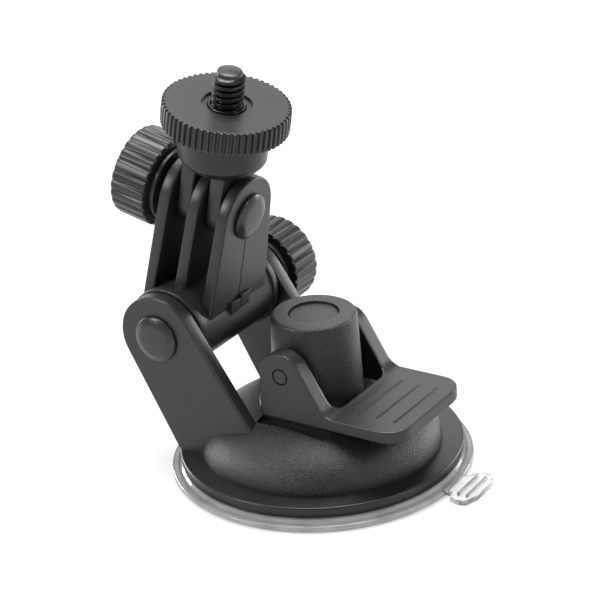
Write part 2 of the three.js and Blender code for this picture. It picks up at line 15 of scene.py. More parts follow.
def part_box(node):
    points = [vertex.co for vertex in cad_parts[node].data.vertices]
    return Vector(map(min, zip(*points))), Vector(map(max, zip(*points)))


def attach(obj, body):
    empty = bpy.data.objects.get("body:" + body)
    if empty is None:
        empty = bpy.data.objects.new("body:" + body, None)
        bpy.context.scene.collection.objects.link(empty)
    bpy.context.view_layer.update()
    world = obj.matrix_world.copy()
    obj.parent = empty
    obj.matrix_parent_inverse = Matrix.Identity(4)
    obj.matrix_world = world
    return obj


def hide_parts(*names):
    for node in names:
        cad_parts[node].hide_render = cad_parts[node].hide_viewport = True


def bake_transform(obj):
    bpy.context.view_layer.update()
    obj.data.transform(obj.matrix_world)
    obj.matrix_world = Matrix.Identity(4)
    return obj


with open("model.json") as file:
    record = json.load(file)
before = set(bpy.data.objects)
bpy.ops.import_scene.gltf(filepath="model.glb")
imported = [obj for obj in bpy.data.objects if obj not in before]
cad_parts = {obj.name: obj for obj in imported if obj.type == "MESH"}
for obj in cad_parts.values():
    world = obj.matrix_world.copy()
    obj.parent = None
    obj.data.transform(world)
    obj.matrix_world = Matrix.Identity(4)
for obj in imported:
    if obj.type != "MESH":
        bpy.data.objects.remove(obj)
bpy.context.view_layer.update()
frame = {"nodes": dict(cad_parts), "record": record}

MM = 0.001
ORIGIN = np.zeros(3)
UP = np.array([0.0, 0.0, 1.0])
ACROSS = np.array([1.0, 0.0, 0.0])
ALONG = np.array([0.0, 1.0, 0.0])


# ------------------------------------------------------------------ the frame's places
def unit(v):
    v = np.asarray(v, float)
    return v / np.linalg.norm(v)


class Seat:
    """A place in the frame: an origin in millimetres and three axes."""

    def __init__(self, origin, z, x):
        self.origin = np.asarray(origin, float)
        self.z = unit(z)
        self.x = unit(np.asarray(x, float) - np.dot(x, self.z) * self.z)
        self.y = np.cross(self.z, self.x)

    def put(self, points):
        """Points drawn in the seat, in the frame."""
        basis = np.stack([self.x, self.y, self.z])
        return np.asarray(points, float) @ basis + self.origin


JOINTS = {j["name"]: j for j in frame["record"]["behaviour"]["joints"]}


def joint_place(name):
    return np.array(JOINTS[name]["pos_m"]) / MM


def joint_axis(name):
    return unit(JOINTS[name]["axis"])


def span(node, axis):
    """The lowest and highest place of a CAD node on one axis, in millimetres."""
    low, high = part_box(node)
    return low[axis] / MM, high[axis] / MM


lower_pivot = joint_place("link_swing")
upper_pivot = joint_place("head_tilt")
pin_place = joint_place("lever_lift")
link_up = unit(upper_pivot - lower_pivot)
fin_across = joint_axis("head_tilt")
screw_axis = joint_axis("wheel_turn")

base_seat = Seat(ORIGIN, UP, ACROSS)
link_seat = Seat(lower_pivot, link_up, fin_across)
head_seat = Seat(upper_pivot, screw_axis, fin_across)

# ---------------------------------------------------------------------- sizes in mm
GAP = 0.3
RING_RADIUS = span("base_housing", 0)[1]
RING_BOTTOM = span("base_housing", 2)[0]
RING_TOP = RING_BOTTOM + 2.3
RING_INNER = RING_RADIUS - 4.35
DOME_RISE = 10.0
DOME_FULLNESS = 2.8
CROWN_Z = 14.5
CROWN_RADIUS = 12.0
CEILING = 10.9
POST_FOOT = 9.1
POST_TOP = span("stem_post", 2)[1]
POST_BOTTOM = span("stem_post", 2)[0]
POST_TOP_RADIUS = 8.6
PLUG_RADIUS = 5.05
PLUG_DEPTH = 0.4
HEEL = 9.4
EAR_INNER = 9.6
LEVER_HALF = span("lever", 1)[1]
LEVER_BACK = 5.1
EYE = 4.8
LEAN = math.radians(30.5)
FILLET = 3.8
PAD_END = span("lever", 0)[1]
PAD_THICK = 2.5
PAD_CORNER = 5.0
WINDOW_END = 10.4
FORK_OUTER = 16.9
FORK_INNER = 13.75
FORK_EYE = 8.63
LINK_LENGTH = float(np.linalg.norm(upper_pivot - lower_pivot))
FIN = 2.5
FIN_PITCH = 6.9
FIN_OFFSET = -0.7
FIN_EYE = 8.1
FIN_FOOT = 10.2
BARREL = 8.5
FLANGE = 9.0
FLANGE_WIDE = 1.6
HOLDER_EAR = 5.8
BOWL = 8.9
BOWL_FROM = 9.4
BOWL_TOP = 17.4
WHEEL_BOTTOM = BOWL_TOP + GAP
WHEEL_TOP = WHEEL_BOTTOM + 4.85
WHEEL_RADIUS = 12.75
INSERT_RADIUS = 3.75
RECESS_RADIUS = 4.95
RECESS_DEEP = 0.6
SCREW_RADIUS = 3.175
SCREW_PITCH = 1.27
SCREW_DEPTH = 0.75
SCREW_REACH = 7.0
BOLT = 2.5
BOLT_HEAD = 4.8
KNOB_RADIUS = 9.4
KNOB_FROM, KNOB_TO = (place - FORK_OUTER for place in span("lower_knob", 1))
KNOB_HUB_HIGH = 1.3
KNOB_FLUTES = 26
WASHER_RADIUS = 5.6
PIN_RADIUS = 1.4
HEX_ACROSS = 11.1
WHEEL_TEETH = 60
CUP_RADIUS = -span("suction_cup", 1)[0]
ANCHOR_TOP = span("cup_anchor", 2)[0] + 1.2
ANCHOR_RADIUS = 13.0

# ------------------------------------------------------- looks: degrees, shades and power
SHARP_ABOVE = 38
BARE_WHITE = (1, 1, 1, 1)
FLOOR_SHADE = (0.32, 0.32, 0.32, 1)
FLOOR_GLOW = 0.58
WORLD_GLOW = 0.25
PLASTIC_SHEEN = 0.42
NOISE_ASIDE = (0.3137, 0.2291, 0.4173)
NOISE_TURN = (0.5, 0.9, 0.3)


# ---------------------------------------------------------------- surfaces from numpy
def arc(centre, radius, start, end, steps):
    """Points round a circle between two angles in degrees."""
    t = np.radians(np.linspace(start, end, steps))
    return np.stack([centre[0] + radius * np.cos(t), centre[1] + radius * np.sin(t)], 1)


def rounded(corners, steps=6, closed=True):
    """An outline from (a, b, radius) corners: each corner becomes an arc that both its sides touch."""
    c = np.array(corners, float)
    out = []
    for i in range(len(c)):
        here, r = c[i, :2], c[i, 2]
        ends = not closed and i in (0, len(c) - 1)
        if ends or r <= 0:
            out.append(here[None])
            continue
        back = unit(c[i - 1, :2] - here)
        ahead = unit(c[(i + 1) % len(c), :2] - here)
        half = math.acos(float(np.clip(back @ ahead, -1, 1))) / 2
        centre = here + unit(back + ahead) * r / math.sin(half)
        first = here + back * r / math.tan(half) - centre
        last = here + ahead * r / math.tan(half) - centre
        t = np.linspace(0, 1, steps)[:, None]
        ray = (1 - t) * first + t * last
        out.append(centre + r * ray / np.linalg.norm(ray, axis=1)[:, None])
    return np.concatenate(out)


def rectangle(left, low, right, high, corner=0.0):
    """A rectangle's outline, its four corners rounded alike."""
    return rounded([(left, low, corner), (right, low, corner), (right, high, corner), (left, high, corner)])


def eased(t):
    """3 t^2 - 2 t^3: a climb from 0 to 1 that starts and ends level."""
    return t * t * (3 - 2 * t)


def cut_sides(start, side, count):
    """The first point of each piece, when each side from its start is cut into count equal pieces:
    start + side * share, where share climbs from 0 by 1 / count."""
    which = np.repeat(np.arange(len(count)), count)
    first = np.repeat(np.cumsum(count) - count, count)
    share = (np.arange(count.sum()) - first) / count[which]
    return start[which] + side[which] * share[:, None]


def resampled(outline, step):
    """A closed outline with a point every step along it, its corners kept."""
    side = np.roll(outline, -1, 0) - outline
    count = np.maximum(1, (np.linalg.norm(side, axis=1) / step).astype(int))
    return cut_sides(outline, side, count)


def filled(profile, step):
    """A profile with points added so that none of its sides is longer than the step."""
    profile = np.asarray(profile, float)
    side = np.diff(profile, axis=0)
    count = np.maximum(1, np.ceil(np.linalg.norm(side, axis=1) / step).astype(int))
    return np.concatenate([cut_sides(profile[:-1], side, count), profile[-1:]])


def skin_faces(rows, cols, wrap_rows=False):
    """Quads between the rows of a grid that closes on itself along its columns."""
    r = np.arange(rows if wrap_rows else rows - 1)[:, None]
    c = np.arange(cols)[None]
    a = r * cols + c
    b = r * cols + (c + 1) % cols
    up = ((r + 1) % rows) * cols
    return np.stack([a, b, up + (c + 1) % cols, up + c], -1).reshape(-1, 4)


def end_caps(rows, cols):
    """The two flat faces that close a grid at its first and last row."""
    ring = np.arange(cols)[None]
    return [ring[:, ::-1], ring + (rows - 1) * cols]


def soft_shading(mesh):
    mesh.shade_smooth()
    mesh.set_sharp_from_angle(angle=math.radians(SHARP_ABOVE))


def build(name, parts):
    """A mesh object from parts in millimetres, its doubles merged and its faces turned outward.
    A part is its points and a list of face arrays."""
    points, faces, start = [], [], 0
    for part_points, face_arrays in parts:
        points.append(part_points)
        for array in face_arrays:
            faces += (np.asarray(array) + start).tolist()
        start += len(part_points)
    mesh = bpy.data.meshes.new(name)
    mesh.from_pydata((np.concatenate(points) * MM).tolist(), [], faces)
    bm = bmesh.new()
    bm.from_mesh(mesh)
    bmesh.ops.remove_doubles(bm, verts=bm.verts, dist=1e-7)
    bmesh.ops.dissolve_degenerate(bm, edges=bm.edges, dist=1e-8)
    bmesh.ops.recalc_face_normals(bm, faces=bm.faces)
    bm.to_mesh(mesh)
    bm.free()
    soft_shading(mesh)
    made = bpy.data.objects.new(name, mesh)
    bpy.context.scene.collection.objects.link(made)
    return made


def finish(made, body, slot, material, *nodes):
    """The piece rides on its body, takes its finish and stands for its CAD nodes."""
    made.data.materials.clear()
    made.data.materials.append(material)
    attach(made, body)
    if nodes:
        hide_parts(*nodes)
    return made


def turned(profile, seat, around=96, wave=None):
    """A profile of (radius, height) carried round the seat's axis: the point at an angle is radius times
    (cos, sin) of it, at that height. wave, if given, is what is taken off the radius for each row and
    angle. A profile that doesn't end on the axis closes on itself."""
    profile = np.asarray(profile, float)
    angle = np.linspace(0, 2 * np.pi, around, endpoint=False)
    radius = np.repeat(profile[:, :1], around, 1)
    if wave is not None:
        radius = radius - wave(profile, angle)
    height = np.repeat(profile[:, 1:], around, 1)
    grid = np.stack([radius * np.cos(angle), radius * np.sin(angle), height], -1)
    on_axis = profile[0, 0] < 1e-6 and profile[-1, 0] < 1e-6
    return seat.put(grid.reshape(-1, 3)), [skin_faces(len(profile), around, wrap_rows=not on_axis)]


def plate(outline, low, high, edge, seat, steps=4):
    """An outline of (x, y) raised from one height to the other along the seat's axis, with its two rims
    rounded: each ring is the outline moved inward along its own normals by edge * (1 - sin t) where the
    height has climbed edge * (1 - cos t)."""
    before = outline - np.roll(outline, 1, 0)
    after = np.roll(outline, -1, 0) - outline
    before /= np.maximum(np.linalg.norm(before, axis=1), 1e-9)[:, None]
    after /= np.maximum(np.linalg.norm(after, axis=1), 1e-9)[:, None]
    turn = before + after
    turn /= np.linalg.norm(turn, axis=1)[:, None]
    x, y = outline.T
    area = np.sum(x * np.roll(y, -1) - np.roll(x, -1) * y)
    inward = np.stack([-turn[:, 1], turn[:, 0]], 1) * np.sign(area)
    stretch = 1 / np.maximum(np.abs(np.sum(turn * after, 1)), 0.5)
    t = np.linspace(0, np.pi / 2, steps)
    inset = edge * (1 - np.sin(t))
    climb = edge * (1 - np.cos(t))
    flat = [edge + 0.08]
    insets = np.concatenate([flat, inset, inset[::-1], flat])
    heights = np.concatenate([[low], low + climb, high - climb[::-1], [high]])
    rings = outline[None] + insets[:, None, None] * (inward * stretch[:, None])[None]
    z = np.repeat(heights[:, None], len(outline), 1)
    grid = np.concatenate([rings, z[..., None]], -1)
    rows, cols = z.shape
    return seat.put(grid.reshape(-1, 3)), [skin_faces(rows, cols), *end_caps(rows, cols)]


def box_part(low, high, seat):
    """A plain block, used only as a cutter."""
    corners = rectangle(low[0], low[1], high[0], high[1])
    bottom = np.column_stack([corners, np.full(4, low[2])])
    top = np.column_stack([corners, np.full(4, high[2])])
    return seat.put(np.concatenate([bottom, top])), [skin_faces(2, 4), *end_caps(2, 4)]


def apply_modifiers(made):
    """The object's modifiers worked into its mesh."""
    graph = bpy.context.evaluated_depsgraph_get()
    done = bpy.data.meshes.new_from_object(made.evaluated_get(graph))
    made.modifiers.clear()
    old = made.data
    made.data = done
    bpy.data.meshes.remove(old)
    return made


def cut_by(made, cutter):
    """The cutter's shape taken out of the piece."""
    step = made.modifiers.new("pocket", "BOOLEAN")
    step.operation = "DIFFERENCE"
    step.solver = "EXACT"
    step.object = cutter
    apply_modifiers(made)
    bpy.data.objects.remove(cutter)
    soft_shading(made.data)


# ---------------------------------------------------------------------------- finishes
def new_material(name):
    """A node material and its principled shader."""
    mat = bpy.data.materials.new(name)
    mat.use_nodes = True
    return mat, mat.node_tree.nodes["Principled BSDF"]


def relief(mat, shader, source, depth):
    """The value as bump on the shader, its whole height given in millimetres."""
    made = mat.node_tree.nodes.new("ShaderNodeBump")
    made.inputs["Distance"].default_value = depth * MM
    mat.node_tree.links.new(source, made.inputs["Height"])
    mat.node_tree.links.new(made.outputs["Normal"], shader.inputs["Normal"])


def ramp(mat, source, low, high, where=(0.3, 0.7)):
    """A node that turns a value into a colour between two shades."""
    made = mat.node_tree.nodes.new("ShaderNodeValToRGB")
    for stop, at, shade in zip(made.color_ramp.elements, where, (low, high)):
        stop.position = at
        stop.color = (*shade, 1)
    mat.node_tree.links.new(source, made.inputs["Fac"])
    return made.outputs["Color"]


def spread(mat, source, low, high, between=(0.0, 1.0)):
    """A node that turns a value between two others into one between low and high."""
    made = mat.node_tree.nodes.new("ShaderNodeMapRange")
    made.inputs["From Min"].default_value, made.inputs["From Max"].default_value = between
    made.inputs["To Min"].default_value, made.inputs["To Max"].default_value = low, high
    mat.node_tree.links.new(source, made.inputs["Value"])
    return made.outputs["Result"]


def noise(mat, size, detail):
    """A noise over the object, with the size of its lumps in millimetres. It is read away from the
    origin, because the noise's own lattice shows as a line on the planes through it."""
    nodes, links = mat.node_tree.nodes, mat.node_tree.links
    place = nodes.new("ShaderNodeTexCoord")
    aside = nodes.new("ShaderNodeMapping")
    aside.inputs["Location"].default_value = NOISE_ASIDE
    aside.inputs["Rotation"].default_value = NOISE_TURN
    made = nodes.new("ShaderNodeTexNoise")
    made.inputs["Scale"].default_value = 1 / (size * MM)
    made.inputs["Detail"].default_value = detail
    made.inputs["Roughness"].default_value = 0.5
    links.new(place.outputs["Object"], aside.inputs["Vector"])
    links.new(aside.outputs["Vector"], made.inputs["Vector"])
    return made.outputs["Fac"]


def plastic(name, shade, rough, grain, depth, speckle, edge_highlight=0.5):
    """Moulded black plastic: a spark-eroded grain as bump and speckle, slow changes of shade and gloss,
    and a painted highlight: convex edges painted a little paler."""
    mat, shader = new_material(name)
    nodes, links = mat.node_tree.nodes, mat.node_tree.links
    shader.inputs["Specular IOR Level"].default_value = PLASTIC_SHEEN
    fine = noise(mat, grain, 2)
    slow = noise(mat, 6, 4)
    relief(mat, shader, fine, depth)
    tone = ramp(mat, slow, [c * 0.9 for c in shade], [c * 1.1 for c in shade])
    specks = ramp(mat, fine, [1 - speckle] * 3, [1 + speckle] * 3, (0.38, 0.62))
    grained_tone = nodes.new("ShaderNodeMix")
    grained_tone.data_type = "RGBA"
    grained_tone.blend_type = "MULTIPLY"
    grained_tone.clamp_result = False
    grained_tone.inputs["Factor"].default_value = 1
    links.new(tone, grained_tone.inputs["A"])
    links.new(specks, grained_tone.inputs["B"])
    # Painted highlight: convex edges, found by pointiness, take a paler shade that stands in for light caught
    # on the edges.
    edges = nodes.new("ShaderNodeNewGeometry")
    painted_edge_highlight = spread(mat, edges.outputs["Pointiness"], 0, edge_highlight, (0.56, 0.64))
    highlighted_tone = nodes.new("ShaderNodeMix")
    highlighted_tone.data_type = "RGBA"
    highlighted_tone.inputs["B"].default_value = (*[c * 2.4 for c in shade], 1)
    links.new(painted_edge_highlight, highlighted_tone.inputs["Factor"])
    links.new(grained_tone.outputs["Result"], highlighted_tone.inputs["A"])
    links.new(highlighted_tone.outputs["Result"], shader.inputs["Base Color"])
    links.new(spread(mat, slow, rough - 0.05, rough + 0.06), shader.inputs["Roughness"])
    return mat


def steel(name, shade, rough, marks=0.12, depth=0.004):
    """Turned or plated steel: fine marks as bump, and shade and gloss that change a little."""
    mat, shader = new_material(name)
    links = mat.node_tree.links
    shader.inputs["Metallic"].default_value = 1.0
    relief(mat, shader, noise(mat, marks, 2), depth)
    slow = noise(mat, 1.5, 2)
    tone = ramp(mat, slow, [c * 0.8 for c in shade], [min(1, c * 1.15) for c in shade])
    links.new(tone, shader.inputs["Base Color"])
    links.new(spread(mat, slow, rough - 0.06, rough + 0.08), shader.inputs["Roughness"])
    return mat


def clear_plastic(name, through, low, high):
    """Clear soft plastic with a slightly grey body: it lets most light through, and its surface has
    faint ripples."""
    mat, shader = new_material(name)
    links = mat.node_tree.links
    shader.inputs["Transmission Weight"].default_value = through
    shader.inputs["IOR"].default_value = 1.4
    flow = noise(mat, 4, 2)
    relief(mat, shader, flow, 0.04)
    links.new(ramp(mat, flow, [low] * 3, [high] * 3), shader.inputs["Base Color"])
    links.new(spread(mat, flow, 0.08, 0.22), shader.inputs["Roughness"])
    return mat


grained = plastic("grained_black_plastic", (0.017, 0.017, 0.018), 0.36, 0.26, 0.15, 0.7)
smooth = plastic("satin_black_plastic", (0.018, 0.018, 0.019), 0.36, 0.2, 0.03, 0.25)
polished = plastic("polished_black_plastic", (0.008, 0.008, 0.009), 0.34, 0.25, 0.006, 0.08)
knob_plastic = plastic("knob_black_plastic", (0.018, 0.018, 0.019), 0.35, 0.22, 0.01, 0.15, edge_highlight=0)
blackened = steel("blackened_steel", (0.06, 0.059, 0.057), 0.3)
bolt_black = plastic("painted_bolt_black", (0.024, 0.024, 0.025), 0.27, 0.5, 0.02, 0.1)
plated = steel("plated_steel", (0.62, 0.62, 0.6), 0.28)
clear = clear_plastic("clear_soft_plastic", 0.72, 0.26, 0.4)
thin_clear = clear_plastic("thin_clear_plastic", 0.93, 0.9, 0.96)


# ------------------------------------------------------------------------ suction cup
def suction_cup():
    """The cup's section, from the hollow's middle out under the rim, up its wall, in along the top and
    down into the collar that holds the disc."""
    seat_in = CUP_RADIUS - 6
    roof, floor = 3.4, 4.9
    shoulder = ANCHOR_RADIUS + 1
    lip_in, lip_top, lip_under = ANCHOR_RADIUS - 0.9, ANCHOR_TOP + 1.1, ANCHOR_TOP + 0.15
    under = [
        (0, roof, 0), (ANCHOR_RADIUS - 3, roof, 1), (shoulder, roof - 0.3, 4),
        ((shoulder + seat_in) / 2, roof / 2, 10), (seat_in - 2, 0.3, 3), (seat_in, 0, 1),
    ]
    rim = [
        (CUP_RADIUS - 0.5, 0, 0.4), (CUP_RADIUS, 0.5, 0.35), (CUP_RADIUS, 1.4, 0.45),
        (RING_RADIUS + 0.6, 1.55, 0.2), (RING_RADIUS + 0.2, 1.25, 0.2), (RING_RADIUS - 0.4, 1.8, 0.3),
    ]
    top = [
        (RING_RADIUS - 1.6, 1.9, 0.5), (RING_INNER, 2.1, 2), (seat_in - 5, 3.6, 2),
        (ANCHOR_RADIUS + 2.1, 5.4, 0.5), (ANCHOR_RADIUS + 0.9, lip_top, 0.3), (lip_in, lip_top, 0.3),
    ]
    collar = [
        (lip_in, lip_under, 0.05), (ANCHOR_RADIUS + GAP, lip_under, 0.05), (ANCHOR_RADIUS + GAP, floor, 0.05),
        (0, floor, 0),
    ]
    profile = rounded(under + rim + top + collar, closed=False)
    cup = build("clear_suction_cup", [turned(profile, base_seat, 160)])
    cup.data.materials.append(clear)
    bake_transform(cup)
    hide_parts("suction_cup")


def bar_outline(at, half, reach):
    """A thin bar with round ends, across the seat's X at one place."""
    return rectangle(at - half, -reach, at + half, reach, half - 0.01)


def pull_tab():
    """A flat tongue that widens to a round-cornered grip with two ribs on it."""
    reach = CUP_RADIUS + 6.4
    neck = CUP_RADIUS - 1.2
    head = CUP_RADIUS + 1.5
    half = [
        (neck, 3.7, 0), (head - 0.4, 3.7, 0.5), (head, 5.6, 0.5), (head + 1.4, 6.15, 0.9),
        (reach - 1.2, 5.9, 1.6), (reach, 2.6, 3),
    ]
    outline = resampled(rounded([(x, -y, r) for x, y, r in half] + half[::-1]), 0.4)
    turn = math.radians(1.5)
    seat = Seat(ORIGIN, UP, (math.cos(turn), math.sin(turn), 0))
    parts = [plate(outline, 0.3, 1.5, 0.35, seat)]
    for at in (head + 1.2, head + 3.1):
        parts.append(plate(bar_outline(at, 0.3, 4.3), 0.9, 2.0, 0.25, seat))
    finish(build("cup_pull_tab", parts), "base", "clear_cup", thin_clear)


# -------------------------------------------------------------------------- the stem
def stem():
    """The tapered post, hollow at the top, and the round plug that sits in the hollow."""
    hollow = POST_TOP - 2.5
    profile = rounded([
        (0, hollow, 0), (PLUG_RADIUS, hollow, 0), (PLUG_RADIUS, POST_TOP, 0.12),
        (POST_TOP_RADIUS, POST_TOP, 0.8), (POST_FOOT, CROWN_Z + 1.5, 2), (POST_FOOT, POST_BOTTOM, 0.4),
        (0, POST_BOTTOM, 0),
    ], steps=8, closed=False)
    post = build("tapered_post", [turned(profile, base_seat, 128)])
    finish(post, "stem", "black_plastic", grained, "stem_post")
    top, edge = POST_TOP - PLUG_DEPTH, PLUG_RADIUS - 0.12
    profile = rounded([
        (0, top - 1.8, 0), (edge, top - 1.8, 0.1), (edge, top, 0.22), (0, top + 0.04, 0),
    ], closed=False)
    plug = build("round_plug", [turned(profile, base_seat)])
    finish(plug, "stem", "black_plastic", grained, "post_plug")


# ------------------------------------------------------------------------ the housing
def dome_height(r):
    """The dome over a radius: rise * sqrt(1 - (r / ring's inside) ^ fullness) above the ring's top."""
    return RING_TOP + DOME_RISE * np.sqrt(np.clip(1 - (r / RING_INNER) ** DOME_FULLNESS, 0, 1))


def fork_outline():
    """Side view of one arm: a round eye over two edges that lean down to the ring."""
    front_lean, rear_lean = 33.1, 28.3
    front, rear = math.radians(front_lean), math.radians(rear_lean)
    foot = RING_BOTTOM + 0.8
    x, z = lower_pivot[0], lower_pivot[2]
    front_top = (x + FORK_EYE * math.cos(front), z + FORK_EYE * math.sin(front))
    rear_top = (x - FORK_EYE * math.cos(rear), z - FORK_EYE * math.sin(rear))
    landing = float(dome_height(FORK_OUTER)) - 1 - foot
    front_foot = front_top[0] + (front_top[1] - foot) * math.tan(front) - landing * math.tan(front)
    rear_foot = rear_top[0] + (rear_top[1] - foot) * math.tan(rear)
    eye = arc((x, z), FORK_EYE, front_lean, 180 + rear_lean, 60)
    tail = np.array([(rear_foot, foot), (front_foot, foot), (front_foot, foot + landing)])
    return resampled(np.concatenate([eye, tail]), 0.8)


def side_plate(view, low, high, edge):
    """A plate between two places on Y, from a side view of (x, z) points."""
    return plate(view * np.array([1.0, -1.0]), low, high, edge, Seat(ORIGIN, ALONG, ACROSS))


def polish_ring(shell):
    """The flat ring round the dome and its side are smooth, while the dome is grained."""
    shell.data.materials.append(polished)
    faces = shell.data.polygons
    centres = np.empty(len(faces) * 3)
    faces.foreach_get("center", centres)
    centres = centres.reshape(-1, 3) / MM
    on_ring = (np.hypot(centres[:, 0], centres[:, 1]) > RING_INNER) & (centres[:, 2] < RING_TOP + 0.05)
    faces.foreach_set("material_index", on_ring.astype(np.int32))


def housing():
    """The domed shell with its ring, the two pockets that the lever's cheeks dip into, and the two fork
    arms."""
    skirt, inside, hole = RING_RADIUS - 1.6, RING_INNER - 2, POST_FOOT + GAP
    t = np.linspace(np.pi / 2, math.asin(CROWN_RADIUS / RING_INNER), 40)
    dome_r = RING_INNER * np.sin(t)
    curve = np.stack([dome_r, dome_height(dome_r)], 1)
    ring = rounded([
        (skirt, RING_BOTTOM, 0.1), (RING_RADIUS - 0.2, RING_BOTTOM, 0.3), (RING_RADIUS, RING_TOP, 0.35),
        (RING_INNER + 0.1, RING_TOP, 0),
    ], closed=False)[1:]
    crown = rounded([
        (CROWN_RADIUS, float(dome_height(CROWN_RADIUS)), 0), (CROWN_RADIUS - 0.05, CROWN_Z, 0.3),
        (hole, CROWN_Z, 0.3), (hole, CEILING, 0.2), (RING_INNER - 7.4, CEILING, 1),
        (RING_INNER - 4.7, (RING_TOP + CEILING) / 2, 2), (inside, RING_TOP, 0.5),
        (inside, RING_BOTTOM + 1, 0.2), (skirt, RING_BOTTOM + 1, 0.2), (skirt, RING_BOTTOM, 0),
    ], closed=False)[1:]
    shell = build("domed_housing", [turned(np.concatenate([ring, curve, crown]), base_seat, 200)])
    rear, front, middle, half = -6.1, 9.7, 12.45, 1.35
    floor, above = pin_place[2] - 11.62, 18
    pockets = [
        box_part((rear, s * middle - half, floor), (front, s * middle + half, above), base_seat)
        for s in (-1, 1)
    ]
    cut_by(shell, build("pocket_cutter", pockets))
    finish(shell, "base", "black_plastic", grained, "base_housing")
    polish_ring(shell)
    for side, name in ((-1, "fork_arm_front"), (1, "fork_arm_rear")):
        low, high = sorted((side * FORK_INNER, side * FORK_OUTER))
        arm = build(name, [side_plate(fork_outline(), low, high, 0.35)])
        finish(arm, "base", "black_plastic", smooth)


# -------------------------------------------------------------------------- the lever
def cheek_outline():
    """Side view of the lever: round eye, heel, flat underside, pad, and a leaning front edge that ends
    in a fillet."""
    bottom = pin_place[2] - HEEL
    top = bottom + PAD_THICK
    lean = math.degrees(LEAN)
    eye = arc((0, pin_place[2]), EYE, lean, 180, 40)
    heel = arc((-LEVER_BACK + 1.2, bottom + 1.2), 1.2, 180, 270, 8)
    fall = pin_place[2] + EYE * math.sin(LEAN) - top
    foot = EYE * math.cos(LEAN) + fall * math.tan(LEAN) + FILLET * math.tan(math.pi / 4 - LEAN / 2)
    fillet = arc((foot, top + FILLET), FILLET, 270, 180 + lean, 20)
    pad = np.array([(PAD_END, bottom), (PAD_END, top)])
    return resampled(np.concatenate([eye, heel, pad, fillet]), 0.5)


def lever_blank(bottom, top):
    """The cheek's side view across the whole width, with the window and the pad's two corners cut away."""
    blank = build("lever", [side_plate(cheek_outline(), -LEVER_HALF, LEVER_HALF, 0.05)])
    behind, past = -LEVER_BACK - 4, 3.0
    window = resampled(rounded([
        (behind, -EAR_INNER, 0), (WINDOW_END, -EAR_INNER, 2.5), (WINDOW_END, EAR_INNER, 2.5),
        (behind, EAR_INNER, 0),
    ]), 1)
    cutter = plate(window, bottom - 1, pin_place[2] + EYE + 1, 0.01, base_seat)
    cut_by(blank, build("window_cutter", [cutter]))
    for s in (-1, 1):
        corner = (PAD_END - PAD_CORNER, s * (LEVER_HALF - PAD_CORNER))
        round_end = arc(corner, PAD_CORNER, 0, s * 90, 24)
        far_x, far_y = PAD_END + past, s * (LEVER_HALF + past)
        waste = np.concatenate([round_end, [(corner[0], far_y), (far_x, far_y), (far_x, corner[1])]])
        cutter = plate(waste, bottom - 1, top + 1, 0.01, base_seat)
        cut_by(blank, build("corner_cutter", [cutter]))
    return blank


def mould(made):
    """The object as one skin of small cells, each point then drawn toward its neighbours so that its
    edges come out soft."""
    remesh = made.modifiers.new("moulded", "REMESH")
    remesh.mode = "VOXEL"
    remesh.voxel_size = 0.2 * MM
    apply_modifiers(made)
    soften = made.modifiers.new("soft_edges", "SMOOTH")
    soften.factor = 0.5
    soften.iterations = 6
    apply_modifiers(made)


def lever():
    """The forked lever with a groove round each pin end, the ribs on its pad, and its pin."""
    bottom = pin_place[2] - HEEL
    top = bottom + PAD_THICK
    arm = lever_blank(bottom, top)
    mould(arm)
    pin_seat = Seat(pin_place, ALONG, ACROSS)
    inner, outer = PIN_RADIUS + 0.02, PIN_RADIUS + 0.35
    grooves = []
    for s in (-1, 1):
        low, high = sorted((s * (LEVER_HALF - 0.7), s * (LEVER_HALF + 0.5)))
        grooves.append(turned([(inner, low), (outer, low), (outer, high), (inner, high)], pin_seat, 64))
    cut_by(arm, build("pin_groove_cutter", grooves))
    finish(arm, "lever_arm", "black_plastic", smooth, "lever")
    first_rib, rib_pitch = 14.7, 3.95
    ribs = [
        plate(bar_outline(first_rib + rib_pitch * index, 0.32, 8.3), top - 0.4, top + 0.22, 0.2, base_seat)
        for index in range(3)
    ]
    finish(build("pad_grip_ribs", ribs), "lever_arm", "black_plastic", smooth)
    end = LEVER_HALF - 0.1
    profile = rounded([
        (0, -end, 0), (PIN_RADIUS - 0.08, -end, 0.2), (PIN_RADIUS, -end + 0.3, 0), (PIN_RADIUS, end - 0.3, 0),
        (PIN_RADIUS - 0.08, end, 0.2), (0, end, 0),
    ], closed=False)
    pin = build("lever_pin_rod", [turned(profile, pin_seat, 48)])
    finish(pin, "lever_arm", "black_steel", bolt_black, "lever_pin")


